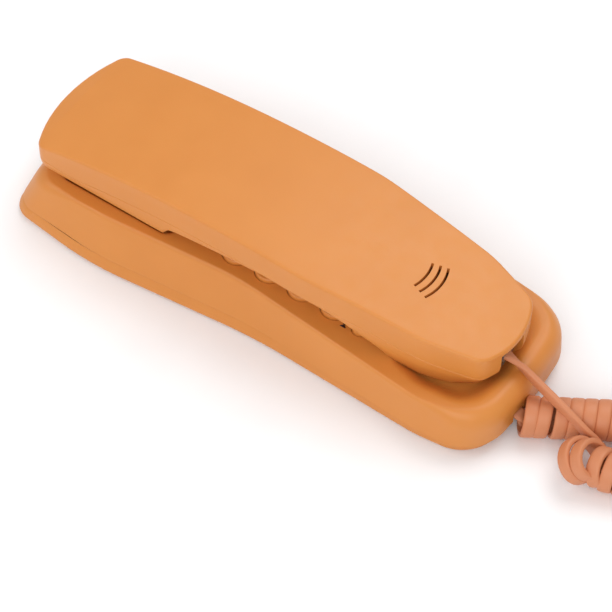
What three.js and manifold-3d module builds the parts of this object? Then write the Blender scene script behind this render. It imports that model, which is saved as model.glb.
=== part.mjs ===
// Slimline wall phone lying on its back, in millimetres.
// X runs to the phone's right, Y from the cord end to the ear end, Z out of its front.
// The origin is under the middle of the base, on the plane its rubber feet stand on.

import * as THREE from 'three';
import { LoftGeometry } from 'three/addons/geometries/LoftGeometry.js';
import { mergeVertices } from 'three/addons/utils/BufferGeometryUtils.js';
import Module from 'manifold-3d';

const manifold = await Module();
manifold.setup();

// ---------- driving dimensions ----------

const WALL = 2.0;
const GAP = 0.3;
const FAR = 200;
const KEY_SIDES = 18;
const HOLE_SIDES = 12;

// Outlines are the corners of the right half, ear end first, each [x, y, corner radius].
const BASE_FOOT = [[0, 101.5, 130], [32.5, 97.5, 9], [36.2, 62, 60], [29.8, -6, 150],
  [33.6, -72, 60], [32, -98.6, 13], [0, -100.6, 150]];
const BASE_RIM = [[0, 92.5, 130], [27.5, 89, 8], [27, 58, 80], [22.6, 6, 110],
  [29.6, -70, 60], [29, -97.6, 14], [0, -99.6, 150]];
const COVER_FOOT = [[0, 101.5, 130], [32.5, 97.5, 9], [36.2, 62, 60], [29.8, -6, 150],
  [32, -72, 60], [30, -96, 12], [0, -97.5, 150]];
const BASE_HEIGHT = 20;
const FEET_HEIGHT = 1.2;
const BASE_SPLIT = 5.8;
// How far the base's edge is rounded in, as [height, inset].
const BASE_EDGE = [[BASE_SPLIT, 0], [18.4, 0], [19.3, 0.5], [19.8, 1.2], [BASE_HEIGHT, 2.2]];

const HANDSET = [[0, 100.8, 50], [25.2, 88.2, 4], [25.2, -22, 90], [20.6, -68, 40],
  [16.6, -87, 6], [0, -94.5, 32]];
const HANDSET_TOP = 44.4;
const EAR_LENGTH = 88;
const EAR_DROP = 11;
const CORD_LENGTH = 91;
const CORD_DROP = 10;
const SIDE_BAND = 12;
const EAR_TIP_BAND = 3.5;
// How far the handset is drawn in towards its inner face, as [height, inset].
const HANDSET_EDGE = [[16, 6.7], [20, 4], [22.6, 1.9], [24.6, 0.6], [27, 0.2], [48, 0]];
// The handset's inner face, seen from the side, as [y, z].
const INNER_FACE = [[110, 25.6], [90, 24.4], [79.4, 21.6], [77, 17], [38.4, 17], [36.6, 21.4],
  [24, 29], [14, 30.2], [-20, 30.2], [-36, 27], [-53, 21.4], [-59, 17.8], [-84, 17.8], [-110, 24]];

const EAR_WELL_TOP = [[0, 81.4, 60], [22, 81.2, 3.5], [22, 34.6, 5], [0, 34.3, 60]];
const EAR_WELL_FLOOR = [[0, 80, 60], [20.3, 79.8, 3], [20.3, 36.2, 4], [0, 35.9, 60]];
const EAR_WELL_Z = 15.4;
const BOWL_TOP = [[0, -53.4, 60], [18, -53.7, 4], [26.2, -68, 16], [24.5, -89, 12], [0, -97, 60]];
const BOWL_FLOOR = [[0, -58, 60], [13.5, -58.5, 4], [17.5, -68, 12], [15, -85, 9], [0, -90, 40]];
const BOWL_Z = 15.2;

const KEY_COLUMN = 14.2;
const KEY_ROW = 13.45;
const KEY_ROW_1 = 11.3;
const KEY = { radius: 5.5, bottom: 14.6, top: 21.6, flangeBottom: 16.5, flangeTop: 17.6, flange: 0.9 };
const FUNCTION_ROW = -40.9;
const FUNCTION_KEY = { length: 12, width: 6.4, top: 21.4 };
const KEY_PLATE = 18;
const DIAL_KEYS = ['key_1', 'key_2', 'key_3', 'key_4', 'key_5', 'key_6',
  'key_7', 'key_8', 'key_9', 'key_star', 'key_0', 'key_hash'];
const FUNCTION_KEYS = ['key_mute', 'key_pause', 'key_redial'];

const LABEL = { y: -49.8, length: 32.4, width: 6.2, floor: 18.4, card: 0.3, window: 0.8 };
const TAB = { y: 29.6, length: 9.2, width: 8.2, thickness: 1.7 };
const TAB_SLOT = { y: 31, length: 9.4, width: 3.6 };
const HOOK = { y: 60, radius: 3.4, top: 16.7, flange: 4.8, flangeTop: 10, stem: 1.6, bottom: 6.9 };
const RECEIVER = { y: 63.6, radius: 13, dish: [12, 7.4, 1.2], face: 17, holes: [9.4, 3.9] };
const MICROPHONE = { y: -64.6, radius: 4.2, holes: [-3, 0, 3] };
const RINGER = { y: -70.5, radius: 8.5, holes: [-4, 0, 4] };
const SOUND_HOLE = 0.8;
const ARC_SLOTS = [{ y: -54.6, halfWidth: 5.6 }, { y: -57.5, halfWidth: 6.5 }, { y: -60.4, halfWidth: 7.2 }];
const ARC_RADIUS = 17;
const ARC_WIDTH = 0.9;

const HANDSET_PLUG = { x: -2.5, z: 27.2 };
const NOTCH = { y: -85.5, top: 33.3, halfWidth: 6 };
const BASE_PLUG = { x: -8.5, z: 8 };
const JACK_BAY = { left: -17.5, right: 4, y: -94, top: 15 };
const PLUG = { width: 7.7, height: 6.6, length: 12 };
const LINE_SOCKET = { width: 10.2, height: 7.2, depth: 12, z: 8.6 };
const LINE_BAY = { halfWidth: 11, y: 93.1, top: 15 };

const BASE_SCREWS = [[18, 70], [-18, 70], [15, -66], [-15, -66]];
const HANDSET_SCREWS = [[10.2, -63], [-10.2, -63]];
const FEET = [[23, 84], [-23, 84], [21, -84], [-21, -84]];
const FOOT_RADIUS = 5;
const KEYHOLES = [30, -56.5];
const KEYHOLE = { head: 4, neck: 2, reach: 8 };
const BASE_SCREW = { head: 2.7, headBottom: 1.7, headTop: 3.5, shank: 0.9, tip: 12.4 };
const BASE_BOSS = { radius: 3.2, bottom: 6.4, top: 14 };
const BASE_POST = { radius: 4.2, bottom: 2, top: 6.1 };
const HANDSET_SCREW = { head: 2.2, headBottom: 18.6, headTop: 20.3, shank: 0.8, tip: 36.4 };
const HANDSET_BOSS = { radius: 3, bottom: 30, top: 41 };
const HANDSET_POST = { radius: 3.4, bottom: 17.9, top: 28 };

const CORD_WIDTH = 4.8;
const CORD_THICKNESS = 2.3;
const COIL_RADIUS = 7.2;
const COIL_Z = 7.4;
// Where the straight lead and the curly part of the cord lie.
const HANDSET_LEAD = [[-2.5, -87.5, 27.2], [-2, -95.7, 25], [-1.6, -103, 21.6], [-2.7, -109.2, 19],
  [-5.2, -117, 17.6], [-7.6, -122.5, 17.2]];
const BASE_LEAD = [[-8.5, -96.7, 8], [-8.5, -97.9, 7.9], [-8.4, -99.2, 7.7]];
const COIL_ROUTE = [[-8.2, -100.3], [6.8, -124.9], [29, -160], [44, -190], [37, -212], [17, -212],
  [4, -190], [-4, -157], [-10, -134.8], [-16.6, -119.4]];

// ---------- materials ----------

function plastic(color, roughness = 0.45) {
  return new THREE.MeshStandardMaterial({ color, roughness, metalness: 0 });
}

const SHELL = plastic(0xe39653);
const CORD = plastic(0xcf7f55, 0.5);
const CLEAR = plastic(0xd8d8d2, 0.15);
const CARD = plastic(0xdedbe6, 0.8);
const RUBBER = plastic(0x3a3a3a, 0.9);
const BOARD = plastic(0x2f6b3c, 0.6);
const BLACK = plastic(0x222222, 0.5);
const STEEL = new THREE.MeshStandardMaterial({ color: 0xb8b8b8, roughness: 0.35, metalness: 1 });
const BRASS = new THREE.MeshStandardMaterial({ color: 0xc9a24a, roughness: 0.35, metalness: 1 });

// ---------- outlines ----------

function mirrored(rightCorners) {
  const upwards = [...rightCorners].reverse();
  const left = rightCorners.slice(1, -1).map(([x, y, r]) => [-x, y, r]);
  return [...upwards, ...left];
}

// Moves every edge of a counter-clockwise polygon inwards by the same distance.
function insetCorners(corners, inset) {
  return corners.map(([x, y, r], i) => {
    const [px, py] = corners.at(i - 1);
    const [nx, ny] = corners[(i + 1) % corners.length];
    const before = new THREE.Vector2(x - px, y - py).normalize();
    const after = new THREE.Vector2(nx - x, ny - y).normalize();
    const cross = before.x * after.y - before.y * after.x;
    const shift = inset / (1 + before.dot(after));
    const movedX = x - shift * (before.y + after.y);
    const movedY = y + shift * (before.x + after.x);
    return [movedX, movedY, Math.max(r - Math.sign(cross) * inset, 0.6)];
  });
}

// The two edges at each corner, half the angle they turn by, and the length its arc takes.
function cornerArcs(corners) {
  return corners.map(([x, y, r], i) => {
    const [px, py] = corners.at(i - 1);
    const [nx, ny] = corners[(i + 1) % corners.length];
    const back = new THREE.Vector2(px - x, py - y);
    const ahead = new THREE.Vector2(nx - x, ny - y);
    const half = (Math.PI - Math.abs(back.angleTo(ahead))) / 2;
    return { corner: new THREE.Vector2(x, y), back, ahead, half, tangent: r * Math.tan(half) };
  });
}

// Replaces each corner by an arc of its radius, or a smaller one where its edges are short.
function roundCorners(corners, segments) {
  const arcs = cornerArcs(corners);
  return arcs.flatMap(({ corner, back, ahead, half, tangent }, i) => {
    const behind = back.length() / (tangent + arcs.at(i - 1).tangent);
    const beyond = ahead.length() / (tangent + arcs[(i + 1) % arcs.length].tangent);
    const length = tangent * Math.min(1, 0.98 * behind, 0.98 * beyond);
    const start = corner.clone().addScaledVector(back, length / back.length());
    const end = corner.clone().addScaledVector(ahead, length / ahead.length());
    return Array.from({ length: segments + 1 }, (_, k) => {
      const t = k / segments;
      const weights = [(1 - t) ** 2, 2 * Math.cos(half) * t * (1 - t), t ** 2];
      const sum = weights[0] + weights[1] + weights[2];
      return new THREE.Vector2()
        .addScaledVector(start, weights[0] / sum)
        .addScaledVector(corner, weights[1] / sum)
        .addScaledVector(end, weights[2] / sum);
    });
  });
}

function outline(rightCorners, inset = 0, segments = 3) {
  return roundCorners(insetCorners(mirrored(rightCorners), inset), segments);
}

function blendCorners(low, high, t) {
  return low.map((corner, i) => corner.map((value, k) => value + t * (high[i][k] - value)));
}

function atHeight(points, z) {
  return points.map((point) => new THREE.Vector3(point.x, point.y, z));
}

// ---------- solids ----------

function solid(geometry) {
  const bare = new THREE.BufferGeometry();
  bare.setAttribute('position', geometry.attributes.position);
  bare.setIndex(geometry.index);
  const merged = mergeVertices(bare, 1e-4);
  const mesh = new manifold.Mesh({
    numProp: 3,
    vertProperties: new Float32Array(merged.attributes.position.array),
    triVerts: new Uint32Array(merged.index.array),
  });
  return new manifold.Manifold(mesh);
}

function meshOf(name, shape, material) {
  const { vertProperties, triVerts } = shape.getMesh();
  const geometry = new THREE.BufferGeometry();
  geometry.setAttribute('position', new THREE.BufferAttribute(vertProperties, 3));
  geometry.setIndex(new THREE.BufferAttribute(triVerts, 1));
  geometry.computeVertexNormals();
  const mesh = new THREE.Mesh(geometry, material);
  mesh.name = name;
  return mesh;
}

function joined(shapes) {
  return shapes.reduce((all, shape) => all.add(shape));
}

function cutAll(shape, cutters) {
  return cutters.reduce((left, cutter) => left.subtract(cutter), shape);
}

function box([x0, y0, z0], [x1, y1, z1]) {
  const geometry = new THREE.BoxGeometry(x1 - x0, y1 - y0, z1 - z0);
  return solid(geometry.translate((x0 + x1) / 2, (y0 + y1) / 2, (z0 + z1) / 2));
}

function cylinder(x, y, z0, z1, radius, sides = HOLE_SIDES + 2) {
  const geometry = new THREE.CylinderGeometry(radius, radius, z1 - z0, sides);
  return solid(geometry.rotateX(Math.PI / 2).translate(x, y, (z0 + z1) / 2));
}

function ring(x, y, z0, z1, outer, inner) {
  return cylinder(x, y, z0, z1, outer).subtract(cylinder(x, y, z0 - 1, z1 + 1, inner));
}

function loft(sections) {
  return solid(new LoftGeometry(sections, { capStart: true, capEnd: true }));
}

// A block between two heights whose top and floor have different outlines.
function taperedBlock(low, lowZ, high, highZ, inset = 0) {
  return loft([atHeight(outline(low, inset), lowZ), atHeight(outline(high, inset), highZ)]);
}

// A long bar along X whose section, in Y and Z, is the polygon given.
function barAlongX(points) {
  const shape = new THREE.Shape(points.map(([y, z]) => new THREE.Vector2(y, z)));
  const geometry = new THREE.ExtrudeGeometry(shape, { depth: FAR, bevelEnabled: false });
  const turn = new THREE.Matrix4().makeBasis(
    new THREE.Vector3(0, 1, 0),
    new THREE.Vector3(0, 0, 1),
    new THREE.Vector3(1, 0, 0),
  );
  return solid(geometry.applyMatrix4(turn).translate(-FAR / 2, 0, 0));
}

// A tube with a flat-sided section swept along a smooth route.
function sweptTube(points, halfWidth, halfHeight, sides, steps) {
  const path = new THREE.CatmullRomCurve3(points.map((point) => new THREE.Vector3(...point)));
  const shape = new THREE.Shape();
  for (let k = 0; k < sides; k += 1) {
    const angle = (2 * Math.PI * (k + 0.5)) / sides;
    const corner = [Math.cos(angle) * halfHeight, Math.sin(angle) * halfWidth];
    if (k === 0) shape.moveTo(...corner);
    else shape.lineTo(...corner);
  }
  return new THREE.ExtrudeGeometry(shape, { extrudePath: path, steps, bevelEnabled: false });
}

// ---------- base ----------

function baseCorners(z) {
  return blendCorners(BASE_FOOT, BASE_RIM, z / BASE_HEIGHT);
}

function baseBlock(inset, lowZ, highZ) {
  const edge = BASE_EDGE.filter(([z]) => z > lowZ && z < highZ);
  const levels = [[lowZ, 0], ...edge, [highZ, inset > 0 ? 0 : BASE_EDGE.at(-1)[1]]];
  return loft(levels.map(([z, round]) => atHeight(outline(baseCorners(z), inset + round), z)));
}

function keyPlaces() {
  return DIAL_KEYS.map((name, i) => ({
    name,
    x: ((i % 3) - 1) * KEY_COLUMN,
    y: KEY_ROW_1 - Math.floor(i / 3) * KEY_ROW,
  }));
}

function functionKeyPlaces() {
  return FUNCTION_KEYS.map((name, i) => ({ name, x: (i - 1) * KEY_COLUMN, y: FUNCTION_ROW }));
}

function pill(x, y, z0, z1, margin) {
  const radius = FUNCTION_KEY.width / 2 + margin;
  const reach = FUNCTION_KEY.length / 2 - FUNCTION_KEY.width / 2;
  const shape = new THREE.Shape();
  shape.absarc(x + reach, y, radius, -Math.PI / 2, Math.PI / 2);
  shape.absarc(x - reach, y, radius, Math.PI / 2, (3 * Math.PI) / 2);
  const depth = z1 - z0;
  const options = { depth, bevelEnabled: false, curveSegments: 6 };
  return solid(new THREE.ExtrudeGeometry(shape, options).translate(0, 0, z0));
}

function roundKey({ x, y }) {
  return joined([
    cylinder(x, y, KEY.bottom, KEY.top, KEY.radius, KEY_SIDES),
    cylinder(x, y, KEY.flangeBottom, KEY.flangeTop, KEY.radius + KEY.flange, KEY_SIDES),
  ]);
}

function pillKey({ x, y }) {
  return joined([
    pill(x, y, KEY.bottom, FUNCTION_KEY.top, 0),
    pill(x, y, KEY.flangeBottom, KEY.flangeTop, KEY.flange),
  ]);
}

function keyHoles() {
  const low = KEY_PLATE - WALL;
  const high = BASE_HEIGHT + WALL;
  const radius = KEY.radius + GAP;
  const round = keyPlaces().map(({ x, y }) => cylinder(x, y, low, high, radius, KEY_SIDES));
  const long = functionKeyPlaces().map(({ x, y }) => pill(x, y, low, high, GAP));
  return [...round, ...long];
}

function earWell(inset, deeper) {
  return taperedBlock(EAR_WELL_FLOOR, EAR_WELL_Z - deeper, EAR_WELL_TOP, BASE_HEIGHT + 0.1, -inset);
}

function mouthBowl(inset, deeper) {
  return taperedBlock(BOWL_FLOOR, BOWL_Z - deeper, BOWL_TOP, BASE_HEIGHT + 0.1, -inset);
}

function jackBay(margin) {
  return box(
    [JACK_BAY.left - margin, -FAR, -1],
    [JACK_BAY.right + margin, JACK_BAY.y + margin, JACK_BAY.top + margin],
  );
}

function baseJackHole() {
  return box([BASE_PLUG.x - 6.2, -FAR, 3.2], [BASE_PLUG.x + 6.2, -80, 13.4]);
}

function lineJackHole() {
  return box([-7.3, 80, 3.2], [7.3, FAR, 13.6]);
}

// The opening in the ear end that the line socket looks out of.
function lineBay() {
  const { halfWidth, y, top } = LINE_BAY;
  return box([-halfWidth, y, -1], [halfWidth, FAR, top]);
}

// A shallow pocket for the tab, open to the ear well so that the tab can slide that way.
function tabRecess() {
  const half = TAB.length / 2 + GAP;
  const floor = BASE_HEIGHT - TAB.thickness - GAP;
  const edge = EAR_WELL_TOP.at(-1)[1] + 2.5;
  return box([-half, TAB.y - TAB.width / 2 - GAP, floor], [half, edge, BASE_HEIGHT + 1]);
}

function labelRecess() {
  const halfLength = LABEL.length / 2 + 0.6;
  const halfWidth = LABEL.width / 2 + 0.5;
  return box(
    [-halfLength, LABEL.y - halfWidth, LABEL.floor],
    [halfLength, LABEL.y + halfWidth, BASE_HEIGHT + 1],
  );
}

// Thickens the housing under the label's recess, which is deeper than the wall.
function labelPad() {
  const halfLength = LABEL.length / 2 + 2.8;
  const halfWidth = LABEL.width / 2 + 1.6;
  return box(
    [-halfLength, LABEL.y - halfWidth, LABEL.floor - WALL],
    [halfLength, LABEL.y + halfWidth, LABEL.floor + 0.6],
  );
}

function baseTopHousing() {
  const outer = baseBlock(0, BASE_SPLIT, BASE_HEIGHT);
  const pads = [earWell(WALL, WALL), mouthBowl(WALL, WALL), jackBay(WALL), labelPad()];
  const hollow = cutAll(baseBlock(WALL, BASE_SPLIT - 1, KEY_PLATE), pads);
  const { radius, bottom, top } = BASE_BOSS;
  const bosses = BASE_SCREWS.map(([x, y]) => cylinder(x, y, bottom, top, radius));
  const bore = BASE_SCREW.shank + GAP;
  const shell = joined([outer.subtract(hollow), ...bosses]);
  return cutAll(shell, [
    earWell(0, 0),
    mouthBowl(0, 0),
    jackBay(0),
    baseJackHole(),
    lineJackHole(),
    lineBay(),
    tabRecess(),
    labelRecess(),
    cylinder(0, HOOK.y, HOOK.flangeTop, KEY_PLATE, HOOK.radius + 0.4),
    ...keyHoles(),
    ...BASE_SCREWS.map(([x, y]) => cylinder(x, y, 5, top - 1.2, bore, HOLE_SIDES)),
  ]);
}

function keyhole(y) {
  const { head, neck, reach } = KEYHOLE;
  return joined([cylinder(0, y, 0, 4, head), box([-neck, y, 0], [neck, y + reach, 4])]);
}

function soundHoles() {
  return RINGER.holes.map((x) => cylinder(x, RINGER.y, 0, 4, SOUND_HOLE, HOLE_SIDES));
}

function baseBottomCover() {
  const low = outline(COVER_FOOT, 1.4);
  const edge = outline(COVER_FOOT, 0.5);
  const top = outline(blendCorners(COVER_FOOT, BASE_RIM, BASE_SPLIT / BASE_HEIGHT), 0.3);
  const tray = loft([
    atHeight(low, FEET_HEIGHT),
    atHeight(edge, FEET_HEIGHT + 1.2),
    atHeight(top, BASE_SPLIT - GAP),
  ]);
  const hollow = loft([
    atHeight(outline(COVER_FOOT, 3), FEET_HEIGHT + WALL),
    atHeight(outline(COVER_FOOT, 4.2), BASE_SPLIT + 1),
  ]);
  const { radius, bottom, top: postTop } = BASE_POST;
  const posts = BASE_SCREWS.map(([x, y]) => cylinder(x, y, bottom, postTop, radius));
  const shell = joined([tray.subtract(hollow.subtract(jackBay(WALL))), ...posts]);
  const { head, headTop, shank } = BASE_SCREW;
  return cutAll(shell, [
    jackBay(0),
    baseJackHole(),
    lineJackHole(),
    lineBay(),
    ...KEYHOLES.map(keyhole),
    ...soundHoles(),
    ...FEET.map(([x, y]) => cylinder(x, y, 0, 2 + GAP, FOOT_RADIUS + GAP)),
    ...BASE_SCREWS.map(([x, y]) => cylinder(x, y, 0, headTop + GAP, head + 0.4)),
    ...BASE_SCREWS.map(([x, y]) => cylinder(x, y, 0, 8, shank + 0.6, HOLE_SIDES)),
  ]);
}

function screw([x, y], { head, headBottom, headTop, shank, tip }) {
  return joined([
    cylinder(x, y, headBottom, headTop, head),
    cylinder(x, y, headTop - 0.5, tip, shank, HOLE_SIDES),
  ]);
}

function baseScrew(spot) {
  return screw(spot, BASE_SCREW);
}

function keypadMat() {
  const domes = [...keyPlaces(), ...functionKeyPlaces()];
  return joined([
    box([-20, -45, 10.7], [20, 18, 12]),
    ...domes.map(({ x, y }) => cylinder(x, y, 11.5, 12.7, 3, 8)),
  ]);
}

function mainBoard() {
  const board = box([-20.5, -47, 8.8], [20.5, 22, 10.4]);
  return joined([board, box([-9, -20, 6.2], [3, -8, 9]), cylinder(12, 8, 4.4, 9, 3.2, 16)]);
}

function hookPlunger() {
  const { y, radius, top, flange, flangeTop, stem, bottom } = HOOK;
  return joined([
    cylinder(0, y, bottom, top, stem),
    cylinder(0, y, flangeTop - 1, flangeTop, flange),
    cylinder(0, y, flangeTop - 0.5, top, radius),
  ]);
}

function hookSwitchBody() {
  const body = box([-8, HOOK.y - 6, 3.5], [8, HOOK.y + 6, 6.6]);
  return joined([body, ring(0, HOOK.y, 6, 7.2, 6.2, 5.2)]);
}

function hookSpring() {
  return ring(0, HOOK.y, HOOK.bottom, HOOK.flangeTop - 1.3, HOOK.radius, HOOK.stem + 0.6);
}

function ringerDisc() {
  return joined([
    cylinder(0, RINGER.y, 3.5, 5.4, RINGER.radius),
    cylinder(0, RINGER.y, 5, 6, RINGER.radius - 2.5),
  ]);
}

function jack(x, frontY, backY, lowZ, highZ, socket) {
  const halfWidth = socket.width / 2 + 1.5;
  const body = box([x - halfWidth, frontY, lowZ], [x + halfWidth, backY, highZ]);
  const mouth = box(
    [x - socket.width / 2, frontY - 1, socket.z - socket.height / 2],
    [x + socket.width / 2, frontY + socket.depth, socket.z + socket.height / 2],
  );
  return body.subtract(mouth);
}

function plugSocket(z) {
  return {
    width: PLUG.width + 2 * GAP,
    height: PLUG.height + 2 * GAP,
    depth: PLUG.length,
    z,
  };
}

function cordJack() {
  const { x, z } = BASE_PLUG;
  return jack(x, JACK_BAY.y + 0.4, -80.5, 3.5, 13.1, plugSocket(z));
}

function lineJack() {
  const front = -LINE_BAY.y - 0.4;
  const back = front + LINE_SOCKET.depth + 1;
  return jack(0, front, back, 3.6, 13.2, LINE_SOCKET).rotate([0, 0, 180]);
}

function plug(x, tailY, z) {
  const half = PLUG.width / 2;
  const nose = tailY + PLUG.length - 1;
  const body = box([x - half, tailY, z - PLUG.height / 2], [x + half, nose, z + PLUG.height / 2]);
  const latchRelief = box([x - half - 1, tailY - 1, z - FAR], [x - 2, tailY + 4, z - 1.6]);
  const latchReliefRight = box([x + 2, tailY - 1, z - FAR], [x + half + 1, tailY + 4, z - 1.6]);
  return cutAll(body, [latchRelief, latchReliefRight]);
}

function hangerTab() {
  const halfLength = TAB.length / 2;
  const halfWidth = TAB.width / 2;
  const low = BASE_HEIGHT - TAB.thickness;
  const plate = box([-halfLength, TAB.y - halfWidth, low], [halfLength, TAB.y + halfWidth, BASE_HEIGHT]);
  const grip = box([-3, TAB.y - 3, BASE_HEIGHT - 0.6], [3, TAB.y - 2, BASE_HEIGHT + 1]);
  return plate.subtract(grip);
}

function labelPlate(lowZ, thickness, margin) {
  const highZ = lowZ + thickness;
  const halfLength = LABEL.length / 2 + margin;
  const halfWidth = LABEL.width / 2 + margin;
  return box([-halfLength, LABEL.y - halfWidth, lowZ], [halfLength, LABEL.y + halfWidth, highZ]);
}

function foot([x, y]) {
  return cylinder(x, y, 0, 2, FOOT_RADIUS);
}

// ---------- handset ----------

function topHeight(y) {
  if (y > 0) return HANDSET_TOP - EAR_DROP * (y / EAR_LENGTH) ** 3;
  return HANDSET_TOP - CORD_DROP * (-y / CORD_LENGTH) ** 3;
}

// Height of the seam between the handset's outer and inner shells.
function seamHeight(y) {
  const towardsTip = Math.max(0, (y - 70) / 25);
  const band = SIDE_BAND - (SIDE_BAND - EAR_TIP_BAND) * towardsTip ** 1.5;
  return topHeight(y) - band;
}

function stations() {
  return Array.from({ length: 18 }, (_, i) => 102 - 12 * i);
}

function handsetEnvelope(inset) {
  const sections = HANDSET_EDGE.map(([z, round]) => atHeight(outline(HANDSET, inset + round), z));
  return loft(sections);
}

// The slab between a height function and everything above it, or below it.
function slabAbove(height, lift) {
  const edge = stations().map((y) => [y, height(y) + lift]);
  return barAlongX([[-100, FAR], ...edge.reverse(), [100, FAR]].reverse());
}

function slabBelow(height, lift) {
  const edge = stations().map((y) => [y, height(y) + lift]);
  return barAlongX([...edge, [-100, -1], [100, -1]]);
}

function aboveInnerFace(lift) {
  const edge = INNER_FACE.map(([y, z]) => [y, z + lift]);
  return barAlongX([[-110, FAR], ...edge.reverse(), [110, FAR]].reverse());
}

function plugNotch() {
  const { x } = HANDSET_PLUG;
  const half = NOTCH.halfWidth;
  return box([x - half, -FAR, 10], [x + half, NOTCH.y, NOTCH.top]);
}

// One of the three arc slots near the cord end of the outer face.
function arcSlot({ y, halfWidth }) {
  const reach = Math.asin(halfWidth / ARC_RADIUS);
  const first = -Math.PI / 2 - reach;
  const last = -Math.PI / 2 + reach;
  const centreY = y + ARC_RADIUS;
  const shape = new THREE.Shape();
  shape.absarc(0, centreY, ARC_RADIUS + ARC_WIDTH / 2, first, last);
  shape.absarc(0, centreY, ARC_RADIUS - ARC_WIDTH / 2, last, first, true);
  const options = { depth: 12, bevelEnabled: false, curveSegments: 8 };
  return solid(new THREE.ExtrudeGeometry(shape, options).translate(0, 0, 36));
}

function handsetOuterShell() {
  const outer = handsetEnvelope(0).intersect(slabBelow(topHeight, 0));
  const inside = handsetEnvelope(WALL).intersect(slabBelow(topHeight, -WALL));
  const { radius, bottom, top } = HANDSET_BOSS;
  const bosses = HANDSET_SCREWS.map(([x, y]) => cylinder(x, y, bottom, top, radius));
  const hollow = inside.subtract(joined(bosses));
  const kept = outer.subtract(hollow).intersect(slabAbove(seamHeight, 0));
  const bore = HANDSET_SCREW.shank + GAP;
  const boreTop = HANDSET_SCREW.tip + 0.6;
  return cutAll(kept, [
    plugNotch(),
    ...ARC_SLOTS.map(arcSlot),
    ...HANDSET_SCREWS.map(([x, y]) => cylinder(x, y, bottom - 2, boreTop, bore, HOLE_SIDES)),
  ]);
}

function earDish() {
  const geometry = new THREE.SphereGeometry(1, 20, 8);
  return solid(geometry.scale(...RECEIVER.dish).translate(0, RECEIVER.y, RECEIVER.face));
}

function soundHole(x, y) {
  return cylinder(x, y, 14, 24, SOUND_HOLE, HOLE_SIDES - 2);
}

function earHoles() {
  const [reachX, reachY] = RECEIVER.holes;
  const around = Array.from({ length: 8 }, (_, i) => {
    const angle = (2 * Math.PI * (i + 0.5)) / 8;
    return soundHole(reachX * Math.cos(angle), RECEIVER.y + reachY * Math.sin(angle));
  });
  return [...around, soundHole(0, RECEIVER.y)];
}

function tabSlot() {
  const { y, length, width } = TAB_SLOT;
  return box([-length / 2, y - width / 2, 20], [length / 2, y + width / 2, 32]);
}

function handsetInnerShell() {
  const outer = handsetEnvelope(0).intersect(aboveInnerFace(0));
  const inside = handsetEnvelope(WALL).intersect(aboveInnerFace(WALL));
  const { radius, bottom, top } = HANDSET_POST;
  const posts = HANDSET_SCREWS.map(([x, y]) => cylinder(x, y, bottom, top, radius));
  const hollow = inside.subtract(joined(posts));
  const kept = outer.subtract(hollow).intersect(slabBelow(seamHeight, -GAP));
  const { head, headTop, shank } = HANDSET_SCREW;
  return cutAll(kept, [
    plugNotch(),
    earDish(),
    tabSlot(),
    ...earHoles(),
    ...MICROPHONE.holes.map((x) => soundHole(x, MICROPHONE.y)),
    ...HANDSET_SCREWS.map(([x, y]) => cylinder(x, y, 15, headTop + GAP, head + 0.4)),
    ...HANDSET_SCREWS.map(([x, y]) => cylinder(x, y, 15, top + 1, shank + 0.5, HOLE_SIDES)),
  ]);
}

function receiverCapsule() {
  return joined([
    cylinder(0, RECEIVER.y, 20.8, 26.5, RECEIVER.radius, 24),
    cylinder(0, RECEIVER.y, 26, 29, 9),
  ]);
}

function receiverGasket() {
  return ring(0, RECEIVER.y, 19.3, 20.5, RECEIVER.radius, 10.6);
}

function microphoneCapsule() {
  return cylinder(0, MICROPHONE.y, 21.4, 26.4, MICROPHONE.radius);
}

function microphoneBoot() {
  const { y, radius } = MICROPHONE;
  const body = cylinder(0, y, 20.1, 26.2, radius + 1.6);
  return cutAll(body, [cylinder(0, y, 21.1, 28, radius + GAP), cylinder(0, y, 19, 22, 3.6)]);
}

function handsetJack() {
  const { x, z } = HANDSET_PLUG;
  return jack(x, NOTCH.y + 0.4, -71.4, 21.6, 33.2, plugSocket(z));
}

function handsetScrew(spot) {
  return screw(spot, HANDSET_SCREW);
}

function handsetWires() {
  const route = [[0, 50, 27.5], [0, 40, 31], [0, 26, 36], [0, -30, 36.5], [-2.5, -58, 35],
    [-2.5, -71, 30]];
  return sweptTube(route, 0.8, 0.8, 8, 18);
}

// ---------- cord ----------

function coilSolid() {
  const route = COIL_ROUTE.map(([x, y]) => [x, y, COIL_Z]);
  return sweptTube(route, COIL_RADIUS, COIL_RADIUS, 10, 36);
}

function lead(route, steps) {
  return sweptTube(route, CORD_WIDTH / 2, CORD_THICKNESS / 2, 8, steps);
}

// ---------- assembly ----------

const phone = new THREE.Group();

function place(name, shape, material) {
  const isGeometry = shape.isBufferGeometry === true;
  phone.add(meshOf(name, isGeometry ? solid(shape) : shape, material));
}

function placeEach(prefix, spots, make, material) {
  spots.forEach((spot, i) => place(`${prefix}_${i + 1}`, make(spot), material));
}

place('base_top_housing', baseTopHousing(), SHELL);
place('base_bottom_cover', baseBottomCover(), SHELL);
keyPlaces().forEach((key) => place(key.name, roundKey(key), SHELL));
functionKeyPlaces().forEach((key) => place(key.name, pillKey(key), SHELL));
place('keypad_mat', keypadMat(), RUBBER);
place('main_circuit_board', mainBoard(), BOARD);
place('hook_plunger', hookPlunger(), BLACK);
place('hook_switch_body', hookSwitchBody(), BLACK);
place('hook_spring', hookSpring(), STEEL);
place('ringer_disc', ringerDisc(), BRASS);
place('line_jack', lineJack(), BLACK);
place('base_cord_jack', cordJack(), BLACK);
place('hanger_tab', hangerTab(), SHELL);
place('label_card', labelPlate(LABEL.floor + GAP, LABEL.card, 0), CARD);
place('label_window', labelPlate(LABEL.floor + 3 * GAP, LABEL.window, 0.2), CLEAR);
placeEach('rubber_foot', FEET, foot, RUBBER);
placeEach('base_screw', BASE_SCREWS, baseScrew, STEEL);

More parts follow.
